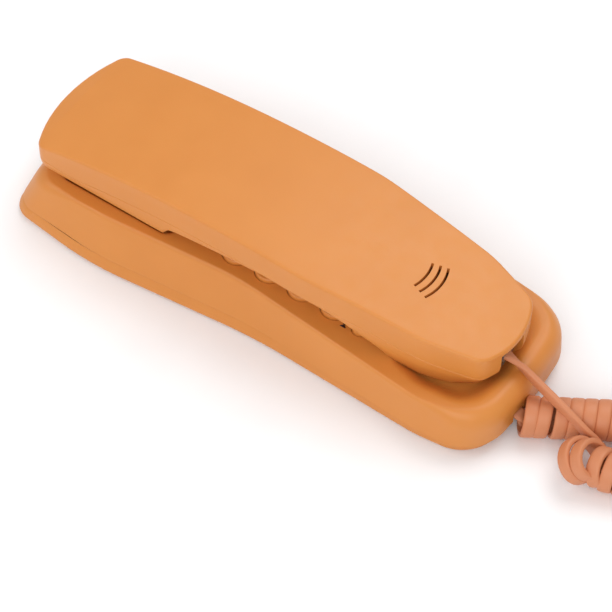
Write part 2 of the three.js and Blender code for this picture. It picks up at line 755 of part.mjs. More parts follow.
place('handset_outer_shell', handsetOuterShell(), SHELL);
place('handset_inner_shell', handsetInnerShell(), SHELL);
place('receiver_capsule', receiverCapsule(), BLACK);
place('receiver_gasket', receiverGasket(), RUBBER);
place('microphone_capsule', microphoneCapsule(), STEEL);
place('microphone_boot', microphoneBoot(), RUBBER);
place('handset_jack', handsetJack(), BLACK);
place('handset_wires', handsetWires(), BLACK);
placeEach('handset_screw', HANDSET_SCREWS, handsetScrew, STEEL);

place('handset_plug', plug(HANDSET_PLUG.x, -86.5, HANDSET_PLUG.z), CLEAR);
place('base_plug', plug(BASE_PLUG.x, -96.2, BASE_PLUG.z), CLEAR);
place('handset_lead', lead(HANDSET_LEAD, 12), CORD);
place('base_lead', lead(BASE_LEAD, 3), CORD);
place('curly_cord', coilSolid(), CORD);

export default phone;
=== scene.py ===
"""The looks of a slimline wall phone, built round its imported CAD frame.

Metres at the end, millimetres in the shape tables: X to the phone's right, Y to its ear end,
Z out of its front. Each piece is made by a short function and rides on its CAD body.
"""

import math

import bmesh
import bpy
import numpy as np
from mathutils import Matrix, Vector
from mathutils.geometry import delaunay_2d_cdt


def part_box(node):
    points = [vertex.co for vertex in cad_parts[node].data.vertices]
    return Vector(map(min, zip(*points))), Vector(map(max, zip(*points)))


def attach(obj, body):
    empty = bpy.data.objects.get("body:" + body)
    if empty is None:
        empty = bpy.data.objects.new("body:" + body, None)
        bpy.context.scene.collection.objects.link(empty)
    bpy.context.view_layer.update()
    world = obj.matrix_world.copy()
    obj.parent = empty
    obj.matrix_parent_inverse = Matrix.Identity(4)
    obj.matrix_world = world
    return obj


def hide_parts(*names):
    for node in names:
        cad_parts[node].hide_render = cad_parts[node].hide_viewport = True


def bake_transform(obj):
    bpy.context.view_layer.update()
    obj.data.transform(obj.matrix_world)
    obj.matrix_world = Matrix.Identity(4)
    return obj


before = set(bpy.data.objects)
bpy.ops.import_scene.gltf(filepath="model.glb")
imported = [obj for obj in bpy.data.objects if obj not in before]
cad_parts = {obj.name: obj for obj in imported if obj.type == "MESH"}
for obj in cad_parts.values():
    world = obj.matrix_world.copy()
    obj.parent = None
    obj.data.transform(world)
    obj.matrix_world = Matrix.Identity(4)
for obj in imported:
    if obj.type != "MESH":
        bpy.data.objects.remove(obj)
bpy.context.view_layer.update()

MM = 0.001

# ---------- driving dimensions, in millimetres ----------

WALL = 2.0
INNER_WALL = 1.8
GAP = 0.3
SEAM_CHAMFER = 0.15
ARC_STEPS = 12
STRAIGHT_STEP = 3.0
SHARP_ANGLE = 35
FAR = 200.0

# Outlines are the corners of the right half, ear end first, each (x, y, corner radius).
BASE_FOOT = [(0, 101.5, 130), (32.8, 97.3, 9), (37.5, 60, 130), (30.7, -7, 220),
             (33.6, -72, 60), (31.2, -96.6, 17), (0, -98.9, 150)]
BASE_RIM = [(0, 92.9, 130), (28.3, 89.4, 9), (27.8, 58, 80), (23.4, 6, 110),
            (30.2, -70, 60), (28.9, -96.8, 16), (0, -98.7, 150)]
COVER_FOOT = BASE_FOOT[:4] + [(32, -72, 60), (29.4, -94.6, 15), (0, -96.4, 150)]
BASE_HEIGHT = 20.0
BASE_SPLIT = 5.8
FEET_HEIGHT = 1.2
COVER_INSET, COVER_EDGE, COVER_SEAM = 0.15, 1.1, 0.08
# The soft shoulder round the deck, by y: how far it reaches in and down.
SHOULDER_Y = [-97, -88, -80, -72, 70, 80, 92]
SHOULDER_INSET = [5.6, 4.4, 1.8, 0.9, 0.9, 2.0, 3.4]
SHOULDER_DEPTH = [7.0, 6.0, 3.0, 1.3, 1.3, 3.0, 5.0]

HANDSET = [(0, 100.8, 50), (25.2, 88.2, 5), (25.9, -22, 90), (21.3, -68, 40),
           (15.8, -87, 8), (0, -94.5, 32)]
HANDSET_TOP = 44.4
# The face's arch, towards the ear end and towards the cord end: length, drop, power of the curve.
EAR_LENGTH, EAR_DROP, EAR_BEND = 88.0, 9.7, 2.3
TAIL_LENGTH, TAIL_DROP, TAIL_BEND = 91.0, 9.3, 1.75
# The band between the face's edge and the seam narrows over the last stretch to the ear end.
SIDE_BAND, EAR_TIP_BAND = 11.0, 3.5
TIP_Y, TIP_LENGTH, TIP_BEND = 70.0, 25.0, 1.5
SEAM_GAP = 0.06
TOP_EDGE_RADIUS = 1.0
# The face's crown: its rise, and the half width from which it is full.
FACE_CROWN, CROWN_WIDTH = 0.5, 22.0
LOWER_EDGE = 1.2
# How far the handset is drawn in towards its inner face: heights and insets.
EDGE_HEIGHTS = [16, 20, 22.6, 24.6, 27, 48]
EDGE_INSETS = [6.7, 4, 1.9, 0.6, 0.2, 0]
DEEP_HEIGHT, DEEP_INSET = 8, 12
# The share of that inset, by y: little along the sides of the mouth block.
DRAW_Y = [-89, -84, -77, -54, -44]
DRAW_SHARE = [1.0, 0.75, 0.3, 0.25, 1.0]
# The handset's inner face, seen from the side.
INNER_Y = [-110, -84, -61, -55, -44, -36, -24, -14, -4, 10, 26, 33.5, 35.5, 38.4,
           77, 79.4, 90, 110]
INNER_Z = [24, 17.8, 17.8, 20.4, 26.4, 29.6, 32.2, 32.8, 32.4, 31.2, 29.4, 28.2, 23, 17,
           17, 21.6, 24.4, 25.6]
# How far along y its corners are eased, by y, and the blend from it into the sides.
EASE_Y, EASE_REACH = [-60, -45, 20, 30], [3, 6, 5, 1.8]
INNER_BLEND = 1.6
# Rings of the inner shell, by how far in they lie, and its least depth below the seam.
OUTSIDE_STEPS = [0.02, 0.12, 0.3, 0.55, 0.85, 1.2, 1.7, 2.3, 3.0, 3.8, 4.6, 5.4, 6.2, 7.2, 8.4]
INSIDE_STEPS = [2.4, 3.4, 5, 7, 9]
RIM_MARGIN = 0.05

EAR_WELL_TOP = [(0, 81.4, 60), (22, 81.2, 3.5), (22, 34.6, 5), (0, 34.3, 60)]
EAR_WELL_FLOOR = [(0, 80, 60), (20.3, 79.8, 3), (20.3, 36.2, 4), (0, 35.9, 60)]
EAR_WELL_Z = 15.4
WELL_LIP, WELL_FOOT = 0.9, 1.0
BOWL_TOP = [(0, -53.4, 60), (17.2, -53.7, 3), (22.6, -54.5, 5), (26.4, -68, 18),
            (24.2, -90, 12), (0, -92, 60)]
BOWL_FLOOR = [(0, -58, 60), (11, -58.5, 3), (14.5, -59.3, 4), (17.5, -68, 12),
              (15, -82, 9), (0, -84, 40)]
BOWL_Z = 15.2
DECK_OVERLAP = 0.3

KEY_COLUMN, KEY_ROW, KEY_ROW_1 = 14.2, 13.45, 11.3
KEY_RADIUS, KEY_BOTTOM, KEY_TOP, KEY_EDGE = 5.5, 14.6, 21.6, 0.8
KEY_FLANGE, FLANGE_BOTTOM, FLANGE_TOP = 0.9, 16.5, 17.6
FUNCTION_ROW = -40.9
PILL_HALF_LENGTH, PILL_RADIUS = 6.0, 3.2
DIAL_KEYS = ["1", "2", "3", "4", "5", "6", "7", "8", "9", "star", "0", "hash"]
FUNCTION_KEYS = ["mute", "pause", "redial"]
# Lettering: its height as a font size, its boldness as a share of that, and the ink's thickness.
DIGIT_SIZE, DIGIT_BOLD = 6.8, 0.016
WORD_SIZE, WORD_BOLD, WORD_RISE = 3.0, 0.012, 5.4
INK_THICKNESS = 0.03
# The keys that show another sign than their name: the sign, how far up it moves, its size.
SIGNS = {"star": ("*", -1.3, 9.5), "hash": ("#", 0, 6.2)}

ABOVE_DECK = 22.0
LABEL_Y, LABEL_LENGTH, LABEL_WIDTH, LABEL_FLOOR = -49.8, 32.4, 6.2, 18.4
LABEL_END_GAP, LABEL_SIDE_GAP = 0.6, 0.5
WINDOW_BEVEL = 0.2
TAB_Y, TAB_LENGTH, TAB_WIDTH, TAB_THICKNESS, TAB_BEVEL = 29.6, 9.2, 8.2, 1.7, 0.35
TAB_SLOT_END, TAB_SLOT_FLOOR = 37.0, 18.1
HOOK_Y, HOOK_RADIUS, HOOK_CLEARANCE = 60.0, 3.4, 0.4
# The hook plunger's side up to its rounded top, as (inset, height).
HOOK_PROFILE = [(1.8, 6.9), (1.8, 9.2), (-1.4, 9.2), (-1.4, 10), (0, 10)]
HOOK_SHOULDER, HOOK_EDGE = 15.7, 1.0

RECEIVER_Y = 63.6
# The dished grille: half its length, half its width, its depth, and how full its curve is.
DISH_X, DISH_Y, DISH_DEPTH, DISH_BEND = 12.0, 7.4, 1.2, 0.8
EAR_HOLES, EAR_HOLES_X, EAR_HOLES_Y = 8, 9.4, 3.9
SOUND_HOLE = 0.8
MICROPHONE_Y, MICROPHONE_HOLES = -64.6, (-3, 0, 3)
RINGER_Y, RINGER_HOLES = -70.5, (-4, 0, 4)
HANGER_SLOT_HALF, HANGER_SLOT_START, HANGER_SLOT_END = 4.7, 29.2, 32.8
HANDSET_SCREW_X, HANDSET_SCREW_Y = 10.2, -63
SCREW_WELL_RADIUS, SCREW_WELL_TOP = 2.6, 20.6
ARC_SLOTS = [(-54.6, 5.6), (-57.5, 6.5), (-60.4, 7.2)]
ARC_RADIUS, ARC_WIDTH = 17.0, 0.9

FEET = [(x, y) for y, reach in ((84, 23), (-84, 21)) for x in (-reach, reach)]
FOOT_HOLE_RADIUS, FOOT_HOLE_TOP = 5.3, 2.3
BASE_SCREWS = [(x, y) for y, reach in ((70, 18), (-66, 15)) for x in (-reach, reach)]
SCREW_HOLE_RADIUS = 2.2
KEYHOLE_HEIGHTS = (30, -56.5)
KEYHOLE_RADIUS, KEYHOLE_SLOT_HALF, KEYHOLE_SLOT_LENGTH = 4, 2, 8
# Openings in the base's ends: the cord's slot, the bay of its plug, the line jack's bay and jack.
CORD_SLOT_HALF, CORD_SLOT_TOP = 2.8, 10
HOUSING_SLOT_Y, COVER_SLOT_Y = -96, -94
PLUG_BAY_HALF, PLUG_BAY_Y, PLUG_BAY_END = 6.2, -96.9, -80
LINE_BAY_HALF, LINE_BAY_Y, LINE_BAY_TOP = 11, 93.1, 15
LINE_JACK_HALF, LINE_JACK_Y = 7.3, 80
BAY_FLOOR, PLUG_BAY_TOP, LINE_JACK_TOP = 3.2, 13.4, 13.6

PLUG_X = -2.5
NOTCH_Y, NOTCH_TOP, NOTCH_HALF = -85.5, 33.3, 6.0
BASE_PLUG_X = -8.5
PLUG_BEVEL = 0.35
# The opening in the plug's tail that the cord goes into, up from the plug's underside.
CORD_HOLE_HALF, CORD_HOLE_DEPTH, CORD_HOLE_LOW, CORD_HOLE_HIGH = 2.5, 4.0, 1.6, 4.4
HANDSET_COLLAR, BASE_COLLAR = 2.4, 0
# The blades, back from the plug's front and down from its top.
BLADES, BLADE_PITCH, BLADE_HALF = 4, 1.02, 0.15
BLADE_BACK, BLADE_FRONT, BLADE_LOW, BLADE_HIGH = 4.5, 1.2, 2.4, 0.3

CORD_WIDTH, CORD_THICKNESS = 4.7, 2.2
CORD_GROOVE, CORD_GROOVE_WIDTH = 0.12, 0.55
STEPS_PER_TURN = 28
AXIS_STEPS = 24
COIL_PITCH = 4.75
# The coil's axis from the base's plug round the loop to the handset's: x, y, z, lean, radius.
COIL_AXIS = [
    (-8.2, -100.3, 7.3, 0, 6.0), (6.8, -124.9, 7.3, 0, 6.0), (29, -160, 7.3, 0, 6.0),
    (44, -190, 7.3, 0, 6.0), (37, -212, 7.3, 0, 6.0), (17, -212, 7.3, 0, 6.0),
    (4, -190, 7.3, 0, 6.0), (-4, -157, 7.3, 0, 6.0), (-9.6, -139, 7.3, 2, 6.0),
    (-11.0, -134.8, 7.6, 8, 6.1), (-11.7, -131.2, 8.5, 20, 6.3),
    (-12.9, -127.0, 11.3, 50, 6.6), (-13.7, -124.2, 8.2, 52, 6.8), (-13.9, -123.4, 7.6, 52, 6.8),
]
# Distances along the axis: where the coil starts, then where it passes its left side each turn.
FIRST_STRANDS = [0.3, 1.4, 5.5, 11.5, 16.0, 20.4, 25.0]
BASE_LEAD = [(-8.5, -96.7, 8), (-8.5, -97.9, 7.9), (-8.4, -99.2, 7.6)]
HANDSET_LEAD = [(-8.0, -128.0, 3.6), (-4.9, -127.2, 5.6), (-4.0, -125.2, 8.4),
                (-4.6, -121.0, 12.0), (-3.9, -114.4, 15.0), (-2.4, -103.7, 18.6),
                (-1.5, -94.6, 22.6), (-1.9, -91.0, 24.9), (-2.5, -87.5, 27.2)]
# The way that the flat of the handset's lead faces at each of those points.
HANDSET_LEAD_FACE = [(0.5, -0.3, -0.8), (0.9, -0.2, -0.4), (1, -0.1, 0), (1, -0.2, 0),
                     (1, -0.25, 0), (1, -0.25, 0), (1, -0.1, 0.35), (0.6, 0.1, 0.8), (0, 0.2, 1)]

# ---------- camera ----------

CAMERA_TARGET = Vector((0.0, 0.002, 0.020))
CAMERA_AZIMUTH = -55.03
CAMERA_ELEVATION = 52.16
CAMERA_ROLL = -0.14
CAMERA_DISTANCE = 0.94556
CAMERA_LENS = 162.9
SENSOR_WIDTH = 36
# How far the picture's middle lies to the right of and below the target, as slopes of the sight line.
AIM_RIGHT = 0.00766
AIM_DOWN = 0.02472


def add_object(name, data):
    made = bpy.data.objects.new(name, data)
    bpy.context.scene.collection.objects.link(made)
    return made


def direction(azimuth, elevation):
    """The way to a place seen at that azimuth, anticlockwise from the cord end, and elevation."""
    a, e = math.radians(azimuth), math.radians(elevation)
    return Vector((math.sin(a) * math.cos(e), -math.cos(a) * math.cos(e), math.sin(e)))


def make_camera():
    a = math.radians(CAMERA_AZIMUTH)
    back = direction(CAMERA_AZIMUTH, CAMERA_ELEVATION)
    right = Vector((math.cos(a), math.sin(a), 0))
    up = back.cross(right)
    roll = Matrix.Rotation(math.radians(CAMERA_ROLL), 3, back)
    right, up = roll @ right, roll @ up
    sight = (-back + right * AIM_RIGHT - up * AIM_DOWN).normalized()
    across = sight.cross(up).normalized()
    data = bpy.data.cameras.new("camera")
    data.lens = CAMERA_LENS
    data.sensor_width = SENSOR_WIDTH
    data.clip_start, data.clip_end = 0.05, 20
    camera = add_object("camera", data)
    camera.location = CAMERA_TARGET + back * CAMERA_DISTANCE
    turn = Matrix((across, across.cross(sight), -sight)).transposed()
    camera.rotation_mode = "QUATERNION"
    camera.rotation_quaternion = turn.to_quaternion()
    bpy.context.scene.camera = camera


# ---------- materials ----------

# Noise scales, in cells per metre.
COLOUR_CLOUDS, GLOSS_CLOUDS, SOFT_WAVES, FINE_GRAIN = 45, 180, 60, 2600
SOFT_DEPTH, SOFT_STRENGTH, GRAIN_STRENGTH = 0.00002, 0.15, 0.5

class Nodes:
    """A material's node tree, with short calls for the nodes that every finish here uses."""

    def __init__(self, name):
        self.material = bpy.data.materials.new(name)
        self.material.use_nodes = True
        self.tree = self.material.node_tree
        self.shader = self.tree.nodes["Principled BSDF"]
        self.place = self.add("ShaderNodeNewGeometry").outputs["Position"]

    def add(self, kind, **inputs):
        node = self.tree.nodes.new(kind)
        for key, value in inputs.items():
            node.inputs[key.replace("_", " ")].default_value = value
        return node

    def link(self, a, b):
        self.tree.links.new(a, b)

    def noise(self, per_metre, detail=3.0):
        node = self.add("ShaderNodeTexNoise", Scale=per_metre, Detail=detail)
        self.link(self.place, node.inputs["Vector"])
        return node.outputs["Fac"]

    def spread(self, value, low, high):
        node = self.add("ShaderNodeMapRange")
        node.inputs["From Min"].default_value = 0.3
        node.inputs["From Max"].default_value = 0.7
        node.inputs["To Min"].default_value = low
        node.inputs["To Max"].default_value = high
        self.link(value, node.inputs["Value"])
        return node.outputs["Result"]

    def colours(self, value, low, high):
        ramp = self.add("ShaderNodeValToRGB")
        ramp.color_ramp.elements[0].position = 0.35
        ramp.color_ramp.elements[1].position = 0.65
        ramp.color_ramp.elements[0].color = (*low, 1)
        ramp.color_ramp.elements[1].color = (*high, 1)
        self.link(value, ramp.inputs["Fac"])
        self.link(ramp.outputs["Color"], self.shader.inputs["Base Color"])

    def bump(self, height, distance, strength, after=None):
        node = self.add("ShaderNodeBump", Distance=distance, Strength=strength)
        self.link(height, node.inputs["Height"])
        if after is not None:
            self.link(after, node.inputs["Normal"])
        self.link(node.outputs["Normal"], self.shader.inputs["Normal"])
        return node.outputs["Normal"]

    def set(self, **inputs):
        for key, value in inputs.items():
            self.shader.inputs[key.replace("_", " ")].default_value = value


def linear(red, green, blue):
    """A screen colour from 0 to 255 as the shader's linear one."""
    return tuple((c / 255 / 12.92) if c <= 10 else ((c / 255 + 0.055) / 1.055) ** 2.4
                 for c in (red, green, blue))


def grained(name, low, high, roughness, grain=0.00002, **extra):
    """A moulded surface: two near colours in soft clouds, uneven gloss and a fine grain."""
    nodes = Nodes(name)
    nodes.colours(nodes.noise(COLOUR_CLOUDS), linear(*low), linear(*high))
    gloss = nodes.spread(nodes.noise(GLOSS_CLOUDS), *roughness)
    nodes.link(gloss, nodes.shader.inputs["Roughness"])
    soft = nodes.bump(nodes.noise(SOFT_WAVES), SOFT_DEPTH, SOFT_STRENGTH)
    nodes.bump(nodes.noise(FINE_GRAIN, 2.0), grain, GRAIN_STRENGTH, soft)
    nodes.set(**extra)
    return nodes.material


SHELL = grained("shell_plastic", (211, 133, 58), (214, 136, 61), (0.40, 0.48),
                Subsurface_Weight=0.06, Subsurface_Radius=(0.004, 0.0016, 0.0006),
                Subsurface_Scale=1.0)
KEYS = grained("key_plastic", (212, 134, 58), (215, 137, 61), (0.36, 0.44))
CORD = grained("cord_jacket", (202, 127, 85), (206, 131, 89), (0.44, 0.56), grain=0.00003)
INK = grained("key_ink", (34, 33, 35), (44, 43, 45), (0.45, 0.55))
RUBBER = grained("foot_rubber", (46, 46, 47), (58, 58, 59), (0.75, 0.9))
BLACK = grained("black_plastic", (30, 30, 31), (38, 38, 39), (0.4, 0.5))
BOARD = grained("board_laminate", (34, 92, 52), (42, 106, 60), (0.35, 0.5))
CARD = grained("label_paper", (224, 223, 232), (232, 231, 238), (0.7, 0.85))
STEEL = grained("plated_steel", (176, 176, 178), (196, 196, 198), (0.26, 0.4), Metallic=1.0)
BRASS = grained("brass_disc", (196, 158, 70), (212, 172, 82), (0.26, 0.4), Metallic=1.0)
FILM = grained("label_film", (226, 226, 238), (232, 232, 243), (0.16, 0.26),
               grain=0.000004, Transmission_Weight=0.25, IOR=1.5)
CLEAR = grained("clear_plastic", (236, 236, 232), (244, 244, 241), (0.05, 0.12),
                grain=0.000004, Transmission_Weight=0.92, IOR=1.5)

NODE_FINISH = {
    "keypad_mat": RUBBER, "main_circuit_board": BOARD, "hook_plunger": BLACK,
    "hook_switch_body": BLACK, "hook_spring": STEEL, "ringer_disc": BRASS,
    "line_jack": BLACK, "base_cord_jack": BLACK, "label_card": CARD, "label_window": FILM,
    "rubber_foot": RUBBER, "base_screw": STEEL, "receiver_capsule": BLACK,
    "receiver_gasket": RUBBER, "microphone_capsule": STEEL, "microphone_boot": RUBBER,
    "handset_jack": BLACK, "handset_wires": BLACK, "handset_screw": STEEL,
    "base_top_housing": SHELL, "base_bottom_cover": SHELL, "handset_outer_shell": SHELL,
    "handset_inner_shell": SHELL, "hanger_tab": SHELL, "key": KEYS, "handset_plug": CLEAR,
    "base_plug": CLEAR, "handset_lead": CORD, "base_lead": CORD, "curly_cord": CORD,
}


def finish_nodes():
    for name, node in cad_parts.items():
        kind = max((k for k in NODE_FINISH if name.startswith(k)), key=len)
        node.data.materials.clear()
        node.data.materials.append(NODE_FINISH[kind])


# ---------- outlines ----------


def mirrored(right):
    return right[::-1] + [(-x, y, r) for x, y, r in right[1:-1]]


def inset_corners(corners, inset):
    """Moves every edge of a counter-clockwise polygon inwards by the same distance."""
    moved = []
    for i, (x, y, r) in enumerate(corners):
        px, py, _ = corners[i - 1]
        nx, ny, _ = corners[(i + 1) % len(corners)]
        before = Vector((x - px, y - py)).normalized()
        after = Vector((nx - x, ny - y)).normalized()
        cross = before.x * after.y - before.y * after.x
        shift = inset / (1 + before.dot(after))
        radius = max(r - math.copysign(inset, cross), 0.6)
        moved.append((x - shift * (before.y + after.y), y + shift * (before.x + after.x), radius))
    return moved


def straight_counts(right):
    corners = mirrored(right)
    counts = []
    for i, (x, y, _) in enumerate(corners):
        nx, ny, _ = corners[(i + 1) % len(corners)]
        counts.append(max(1, round(math.hypot(nx - x, ny - y) / STRAIGHT_STEP)))
    return counts


def round_corners(corners, counts):
    """Replaces each corner by an arc, and splits each straight into its count of pieces."""
    arcs = []
    for i, (x, y, r) in enumerate(corners):
        corner = Vector((x, y))
        back = Vector(corners[i - 1][:2]) - corner
        ahead = Vector(corners[(i + 1) % len(corners)][:2]) - corner
        half = (math.pi - back.angle(ahead)) / 2
        arcs.append((corner, back, ahead, half, r * math.tan(half)))
    points = []
    for i, (corner, back, ahead, half, tangent) in enumerate(arcs):
        behind = back.length / (tangent + arcs[i - 1][4])
        beyond = ahead.length / (tangent + arcs[(i + 1) % len(arcs)][4])
        length = tangent * min(1, 0.98 * behind, 0.98 * beyond)
        start = corner + back * (length / back.length)
        end = corner + ahead * (length / ahead.length)
        if points:
            points += between(points[-1], start, counts[i - 1])
        for k in range(ARC_STEPS + 1):
            t = k / ARC_STEPS
            w = ((1 - t) ** 2, 2 * math.cos(half) * t * (1 - t), t * t)
            points.append((start * w[0] + corner * w[1] + end * w[2]) / sum(w))
    points += between(points[-1], points[0], counts[-1])
    return points


def between(a, b, count):
    return [a.lerp(b, k / count) for k in range(1, count)]


def outline(right, inset=0.0, like=None):
    """The closed outline as an array of x, y that starts in the middle of the cord end."""
    counts = straight_counts(like or right)
    points = round_corners(inset_corners(mirrored(right), inset), counts)
    return np.roll(np.array(points, float), -ARC_STEPS // 2, axis=0)


def blend_corners(low, high, t):
    return [tuple(a + t * (b - a) for a, b in zip(p, q)) for p, q in zip(low, high)]


class Plan:
    """An outline at many insets, so that each of its points can be drawn in by its own amount."""

    def __init__(self, right, deepest, like=None):
        self.insets = np.linspace(-1, deepest, int(deepest * 3) + 4)
        self.stack = np.array([outline(right, d, like or right) for d in self.insets])

    def at(self, inset):
        inset = np.broadcast_to(inset, self.stack.shape[1])
        place = np.interp(inset, self.insets, np.arange(len(self.insets)))
        low = np.minimum(place.astype(int), len(self.insets) - 2)
        t = (place - low)[:, None]
        each = np.arange(self.stack.shape[1])
        return self.stack[low, each] * (1 - t) + self.stack[low + 1, each] * t


# ---------- surfaces ----------


class Skin:
    """Rings of points and the faces between them. A ring is a list of vertex numbers."""

    def __init__(self):
        self.points, self.faces = [], []

    def ring(self, xy, z):
        first = len(self.points)
        z = np.broadcast_to(z, len(xy))
        self.points += [(x, y, h) for (x, y), h in zip(xy, z)]
        return list(range(first, len(self.points)))

    def band(self, low, high, flip=False):
        n = len(low)
        for i in range(n):
            j = (i + 1) % n
            face = (low[i], low[j], high[j], high[i])
            self.faces.append(face[::-1] if flip else face)

    def bands(self, rings, flip=False):
        for low, high in zip(rings, rings[1:]):
            self.band(low, high, flip)

    def cap(self, ring, columns, height, flip=False):
        """Fills a ring that is the same left and right with rows of faces across it."""
        half = len(ring) // 2
        rows = [[ring[0]]]
        for k in range(1, half):
            left, right = self.points[ring[-k]], self.points[ring[k]]
            first = len(self.points)
            for j in range(1, columns):
                t = j / columns
                x = left[0] + t * (right[0] - left[0])
                y = left[1] + t * (right[1] - left[1])
                self.points.append((x, y, height(x, y, right[0])))
            rows.append([ring[-k], *range(first, len(self.points)), ring[k]])
        rows.append([ring[half]])
        for low, high in zip(rows, rows[1:]):
            for j in range(columns):
                if len(low) == 1:
                    face = (low[0], high[j + 1], high[j])
                elif len(high) == 1:
                    face = (low[j], low[j + 1], high[0])
                else:
                    face = (low[j], low[j + 1], high[j + 1], high[j])
                self.faces.append(face[::-1] if flip else face)

    def plate(self, outer, holes, z, flip=False):
        """A flat face at height z inside the outer ring, with holes; rings are arrays of x, y."""
        points, loops = [], []
        for loop in [outer, *holes]:
            loops.append(list(range(len(points), len(points) + len(loop))))
            points += [Vector(p) for p in loop]
        made, _, faces, _, _, owners = delaunay_2d_cdt(points, [], loops, 1, 1e-7)
        first = len(self.points)
        self.points += [(p.x, p.y, z) for p in made]
        for face, owner in zip(faces, owners):
            if set(owner) == {0}:
                face = tuple(first + i for i in face)
                self.faces.append(face[::-1] if flip else face)

    def mesh(self, name):
        data = bpy.data.meshes.new(name)
        data.from_pydata([tuple(c * MM for c in p) for p in self.points], [], self.faces)
        tidy = bmesh.new()
        tidy.from_mesh(data)
        bmesh.ops.remove_doubles(tidy, verts=tidy.verts, dist=2e-6)
        loose = [edge for edge in tidy.edges if not edge.link_faces]
        bmesh.ops.delete(tidy, geom=loose, context="EDGES")
        bmesh.ops.recalc_face_normals(tidy, faces=tidy.faces)
        if tidy.calc_volume(signed=True) < 0:
            bmesh.ops.reverse_faces(tidy, faces=tidy.faces)
        tidy.to_mesh(data)
        tidy.free()
        return add_object(name, data)


def circle(x, y, radius, steps=32):
    angles = np.arange(steps) * 2 * math.pi / steps
    return np.stack([x + radius * np.cos(angles), y + radius * np.sin(angles)], axis=1)


def pill(x, y, half_length, radius, steps=14):
    ends = []
    for side, start in ((1, -math.pi / 2), (-1, math.pi / 2)):
        for k in range(steps + 1):
            angle = start + math.pi * k / steps
            reach = side * (half_length - radius)
            ends.append((x + reach + radius * math.cos(angle), y + radius * math.sin(angle)))
    return np.array(ends)


def block(low, high, name="cutter"):
    """A box between two corners, for cutting with."""
    skin = Skin()
    xy = [(low[0], low[1]), (high[0], low[1]), (high[0], high[1]), (low[0], high[1])]
    bottom, top = skin.ring(xy, low[2]), skin.ring(xy, high[2])
    skin.band(bottom, top)
    skin.faces += [tuple(reversed(bottom)), tuple(top)]
    return skin.mesh(name)


def column(loop, low, high, name="cutter"):
    """An upright prism over a loop, for cutting with."""
    skin = Skin()
    bottom, top = skin.ring(loop, low), skin.ring(loop, high)
    skin.band(bottom, top)
    skin.faces += [tuple(reversed(bottom)), tuple(top)]
    return skin.mesh(name)


def apply_modifier(piece, kind, **settings):
    modifier = piece.modifiers.new("step", kind)
    for key, value in settings.items():
        setattr(modifier, key, value)
    graph = bpy.context.evaluated_depsgraph_get()
    data = bpy.data.meshes.new_from_object(piece.evaluated_get(graph))
    piece.modifiers.clear()
    piece.data = data


def cut(piece, cutters):
    for cutter in cutters:
        apply_modifier(piece, "BOOLEAN", object=cutter, operation="DIFFERENCE", solver="MANIFOLD")
        bpy.data.objects.remove(cutter)


def dress(piece, material, body, slot, *nodes):
    """Gives a finished piece its material, smooth shading and body, and hides the nodes that it
    replaces; slot is not used.
    """
    piece.data.materials.clear()
    piece.data.materials.append(material)
    for polygon in piece.data.polygons:
        polygon.material_index = 0
    piece.data.shade_smooth()
    piece.data.set_sharp_from_angle(angle=math.radians(SHARP_ANGLE))
    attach(piece, body)
    if nodes:
        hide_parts(*nodes)
    return piece


# ---------- handset ----------


def top_height(y):
    ear = HANDSET_TOP - EAR_DROP * (np.maximum(y, 0) / EAR_LENGTH) ** EAR_BEND
    return ear - TAIL_DROP * (np.maximum(-y, 0) / TAIL_LENGTH) ** TAIL_BEND


def seam_height(y):
    towards_tip = np.maximum(0, (y - TIP_Y) / TIP_LENGTH) ** TIP_BEND
    return top_height(y) - (SIDE_BAND - (SIDE_BAND - EAR_TIP_BAND) * towards_tip)


def edge_inset(z, y):
    return np.interp(z, EDGE_HEIGHTS, EDGE_INSETS) * np.interp(y, DRAW_Y, DRAW_SHARE)


def inner_height(y):
    """The inner face from the side, its corners eased: least at the ear block, most in the grip."""
    reach = np.interp(y, EASE_Y, EASE_REACH)
    return sum(np.interp(y + reach * k / 3, INNER_Y, INNER_Z) for k in range(-3, 4)) / 7


def smooth_max(a, b, width):
    h = np.clip(0.5 + 0.5 * (a - b) / width, 0, 1)
    return b + (a - b) * h + width * h * (1 - h)


def lower_height(inset, y):
    """Height of the inner shell's outside, by how far a point lies in from the handset's outline."""
    full = inset / np.interp(y, DRAW_Y, DRAW_SHARE)
    drawn_in = np.interp(full, [*EDGE_INSETS[::-1], DEEP_INSET],
                         [*EDGE_HEIGHTS[::-1], DEEP_HEIGHT])
    near = np.clip(LOWER_EDGE - inset, 0, LOWER_EDGE)
    rounding = LOWER_EDGE - np.sqrt(np.maximum(LOWER_EDGE**2 - near**2, 0))
    return smooth_max(inner_height(y) + rounding, drawn_in, INNER_BLEND)


def dish_depth(x, y):
    share = (x / DISH_X) ** 2 + ((y - RECEIVER_Y) / DISH_Y) ** 2
    return DISH_DEPTH * max(0.0, 1 - share) ** DISH_BEND


def handset_ring(skin, plan, height, extra=0.0):
    """A ring at a height that depends on y, drawn in as the handset is at that height."""
    y = plan.at(0)[:, 1]
    xy = plan.at(edge_inset(height(y), y) + extra)
    return skin.ring(xy, height(xy[:, 1]))


